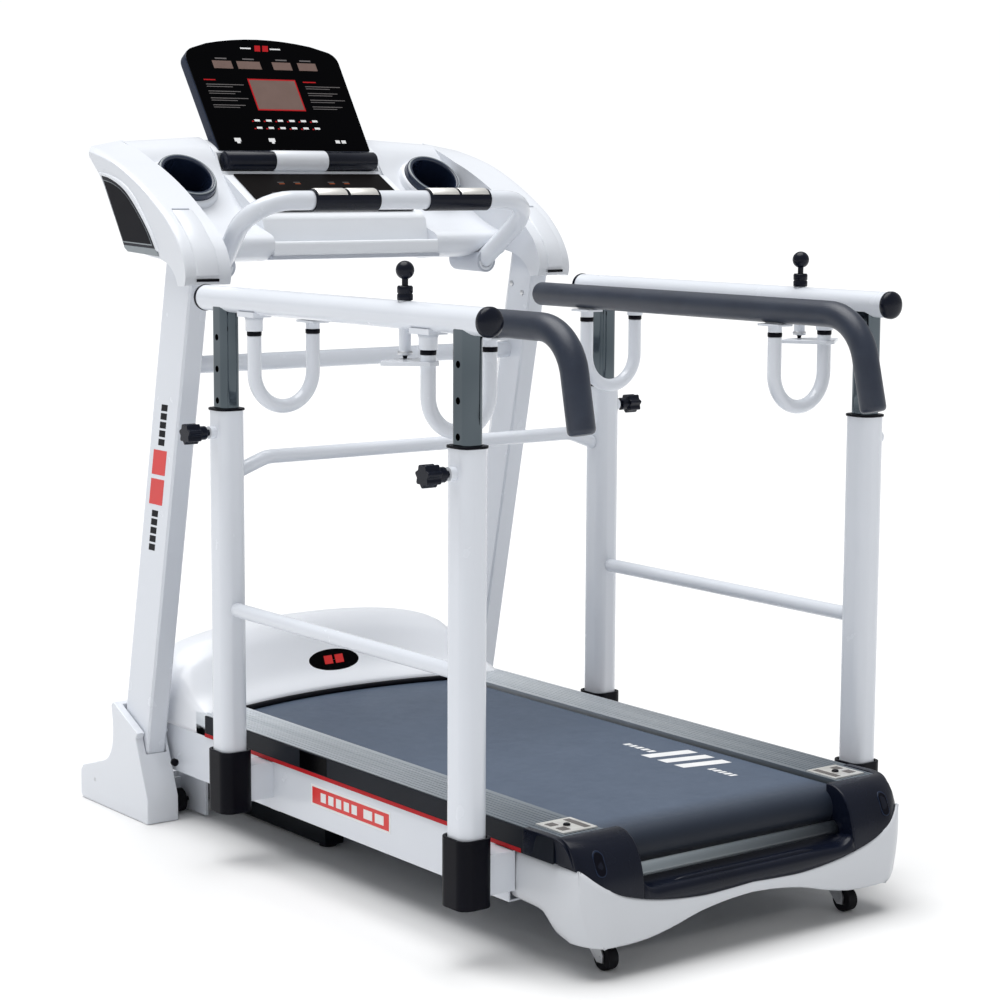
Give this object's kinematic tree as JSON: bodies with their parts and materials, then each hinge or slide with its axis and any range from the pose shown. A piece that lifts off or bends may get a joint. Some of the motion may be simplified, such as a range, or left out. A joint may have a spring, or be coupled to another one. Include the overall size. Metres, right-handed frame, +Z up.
{
  "type": "rehabilitation treadmill",
  "caption": "Motorised walking treadmill with leaning uprights, console and cup wells, height-adjustable side rails and padded grips on swing arms, and an incline lift.",
  "frame": {"origin": "on the floor under the middle of the whole machine's bounding box", "axes": "+X to the user's right, +Y forward towards the console, +Z up"},
  "size_m": [1.008, 1.4996, 1.4704],
  "materials": {
    "white_paint": "gloss paint",
    "white_plastic": "smooth gloss",
    "pale_grey_plastic": "fine texture",
    "black_plastic": "satin",
    "black_steel": "satin paint",
    "black_rubber": "matt",
    "foam": "soft matt foam",
    "chrome_tube": "polished",
    "steel": "bare metal",
    "blue_edge": "satin",
    "screen_face": "smooth gloss",
    "key_face": "printed membrane",
    "circuit": "circuit board",
    "board_wood": "waxed board",
    "belt": "fine woven texture",
    "drive_rubber": "ribbed",
    "foot_aluminium": "grooved, brushed",
    "red_plastic": "gloss"
  },
  "bodies": {
    "base": {"base_frame": "white_paint", "base_rails": "black_steel", "floor_pads": "black_rubber", "upright_frame": "white_paint", "foot_covers": "white_plastic", "console_shell": "white_plastic", "console_underside": "pale_grey_plastic", "side_vents": "black_plastic", "cup_holders": "black_plastic", "display_housing": "blue_edge", "display_panel": "screen_face", "display_bar": "black_plastic", "key_panel": "key_face", "handlebar": "white_paint", "pulse_grips": "foam", "incline_motor": "black_steel"},
    "deck": {"deck_frame": "white_paint", "running_board": "board_wood", "board_cushions": "black_rubber", "running_belt": "belt", "foot_rails": "foot_aluminium", "side_trims": "black_plastic", "rear_shell": "white_plastic", "rear_bezel": "black_plastic", "motor_hood": "white_plastic", "drive_motor": "black_steel", "motor_controller": "circuit", "drive_belt": "drive_rubber", "side_frames": "white_paint", "front_cross_bar": "white_paint", "post_boots": "black_plastic", "post_collars": "black_plastic"},
    "safety_key": {"safety_key": "red_plastic"},
    "transport_wheels": {"transport_wheels": "black_rubber"},
    "lift_arm": {"lift_arm": "black_steel"},
    "lift_screw": {"lift_screw": "steel"},
    "front_roller": {"front_roller": "steel"},
    "rear_roller": {"rear_roller": "steel"},
    "motor_shaft": {"motor_pulley": "steel"},
    "left_caster": {"left_caster_fork": "steel"},
    "right_caster": {"right_caster_fork": "steel"},
    "left_caster_wheel": {"left_caster_wheel": "black_rubber"},
    "right_caster_wheel": {"right_caster_wheel": "black_rubber"},
    "left_side_rail": {"left_rail": "white_paint", "left_rail_posts": "chrome_tube"},
    "left_rear_arm": {"left_rear_arm": "white_paint"},
    "left_front_arm": {"left_front_arm": "white_paint"},
    "left_grip": {"left_grip_bar": "white_paint", "left_grip_foam": "foam"},
    "left_plunger": {"left_plunger": "black_plastic"},
    "right_side_rail": {"right_rail": "white_paint", "right_rail_posts": "chrome_tube"},
    "right_rear_arm": {"right_rear_arm": "white_paint"},
    "right_front_arm": {"right_front_arm": "white_paint"},
    "right_grip": {"right_grip_bar": "white_paint", "right_grip_foam": "foam"},
    "right_plunger": {"right_plunger": "black_plastic"},
    "left_front_knob": {"left_front_knob": "black_plastic"},
    "left_rear_knob": {"left_rear_knob": "black_plastic"},
    "right_front_knob": {"right_front_knob": "black_plastic"}
  },
  "joints": [
    {"name": "deck_tilt", "type": "hinge", "parent": "base", "child": "deck", "pos_m": [0, -0.69582, 0.02], "axis": [1, 0, 0], "range_deg": [0, 5.55]},
    {"name": "lift_arm_swing", "type": "hinge", "parent": "base", "child": "lift_arm", "pos_m": [0, 0.63018, 0.116], "axis": [-1, 0, 0], "range_deg": [0, 42]},
    {"name": "lift_screw_slide", "type": "slide", "parent": "base", "child": "lift_screw", "axis": [0, -1, 0], "range_m": [0, 0.043]},
    {"name": "transport_wheel_spin", "type": "hinge", "parent": "base", "child": "transport_wheels", "pos_m": [0, 0.50618, 0.024], "axis": [1, 0, 0], "continuous": true},
    {"name": "safety_key_pull", "type": "slide", "parent": "base", "child": "safety_key", "axis": [0, -0.4856, 0.8742], "range_m": [0, 0.02]},
    {"name": "front_roller_spin", "type": "hinge", "parent": "deck", "child": "front_roller", "pos_m": [0, 0.44818, 0.1784], "axis": [1, 0, 0], "continuous": true},
    {"name": "rear_roller_spin", "type": "hinge", "parent": "deck", "child": "rear_roller", "pos_m": [0, -0.66382, 0.1784], "axis": [1, 0, 0], "continuous": true},
    {"name": "motor_spin", "type": "hinge", "parent": "deck", "child": "motor_shaft", "pos_m": [0, 0.54318, 0.19], "axis": [1, 0, 0], "continuous": true},
    {"name": "left_caster_swivel", "type": "hinge", "parent": "deck", "child": "left_caster", "pos_m": [-0.257, -0.67982, 0.052], "axis": [0, 0, 1], "continuous": true},
    {"name": "left_caster_wheel_spin", "type": "hinge", "parent": "left_caster", "child": "left_caster_wheel", "pos_m": [-0.257, -0.69582, 0.02], "axis": [1, 0, 0], "continuous": true},
    {"name": "left_rail_lift", "type": "slide", "parent": "deck", "child": "left_side_rail", "axis": [0, 0, 1], "range_m": [-0.1635, 0.109]},
    {"name": "left_rear_arm_swing", "type": "hinge", "parent": "left_side_rail", "child": "left_rear_arm", "pos_m": [-0.42, -0.45182, 0.93], "axis": [0, 0, -1], "range_deg": [-30, 45]},
    {"name": "left_front_arm_swing", "type": "hinge", "parent": "left_side_rail", "child": "left_front_arm", "pos_m": [-0.42, 0.05618, 0.93], "axis": [0, 0, -1], "range_deg": [-30, 45]},
    {"name": "left_grip_swing", "type": "hinge", "parent": "left_rear_arm", "child": "left_grip", "pos_m": [-0.303, -0.45182, 0.93], "axis": [0, 0, -1], "range_deg": [-45, 30]},
    {"name": "left_plunger_slide", "type": "slide", "parent": "left_side_rail", "child": "left_plunger", "axis": [0, 0, 1], "range_m": [-0.008, 0]},
    {"name": "right_caster_swivel", "type": "hinge", "parent": "deck", "child": "right_caster", "pos_m": [0.257, -0.67982, 0.052], "axis": [0, 0, 1], "continuous": true},
    {"name": "right_caster_wheel_spin", "type": "hinge", "parent": "right_caster", "child": "right_caster_wheel", "pos_m": [0.257, -0.69582, 0.02], "axis": [1, 0, 0], "continuous": true},
    {"name": "right_rail_lift", "type": "slide", "parent": "deck", "child": "right_side_rail", "axis": [0, 0, 1], "range_m": [-0.1635, 0.109]},
    {"name": "right_rear_arm_swing", "type": "hinge", "parent": "right_side_rail", "child": "right_rear_arm", "pos_m": [0.42, -0.45182, 0.93], "axis": [0, 0, 1], "range_deg": [-30, 45]},
    {"name": "right_front_arm_swing", "type": "hinge", "parent": "right_side_rail", "child": "right_front_arm", "pos_m": [0.42, 0.05618, 0.93], "axis": [0, 0, 1], "range_deg": [-30, 45]},
    {"name": "right_grip_swing", "type": "hinge", "parent": "right_rear_arm", "child": "right_grip", "pos_m": [0.303, -0.45182, 0.93], "axis": [0, 0, 1], "range_deg": [-45, 30]},
    {"name": "right_plunger_slide", "type": "slide", "parent": "right_side_rail", "child": "right_plunger", "axis": [0, 0, 1], "range_m": [-0.008, 0]},
    {"name": "left_front_knob_slide", "type": "slide", "parent": "deck", "child": "left_front_knob", "axis": [-1, 0, 0], "range_m": [-0.006, 0]},
    {"name": "left_rear_knob_slide", "type": "slide", "parent": "deck", "child": "left_rear_knob", "axis": [-1, 0, 0], "range_m": [-0.006, 0]},
    {"name": "right_front_knob_slide", "type": "slide", "parent": "deck", "child": "right_front_knob", "axis": [1, 0, 0], "range_m": [-0.006, 0]}
  ],
  "couplings": [
    {"joint": "lift_arm_swing", "follows": "deck_tilt", "ratio": 7.5676},
    {"joint": "lift_screw_slide", "follows": "deck_tilt", "m_per_rad": 0.44391},
    {"joint": "rear_roller_spin", "follows": "front_roller_spin", "ratio": 1},
    {"joint": "motor_spin", "follows": "front_roller_spin", "ratio": 2.75},
    {"joint": "left_front_arm_swing", "follows": "left_rear_arm_swing", "ratio": 1},
    {"joint": "left_grip_swing", "follows": "left_rear_arm_swing", "ratio": -1},
    {"joint": "right_front_arm_swing", "follows": "right_rear_arm_swing", "ratio": 1},
    {"joint": "right_grip_swing", "follows": "right_rear_arm_swing", "ratio": -1}
  ]
}
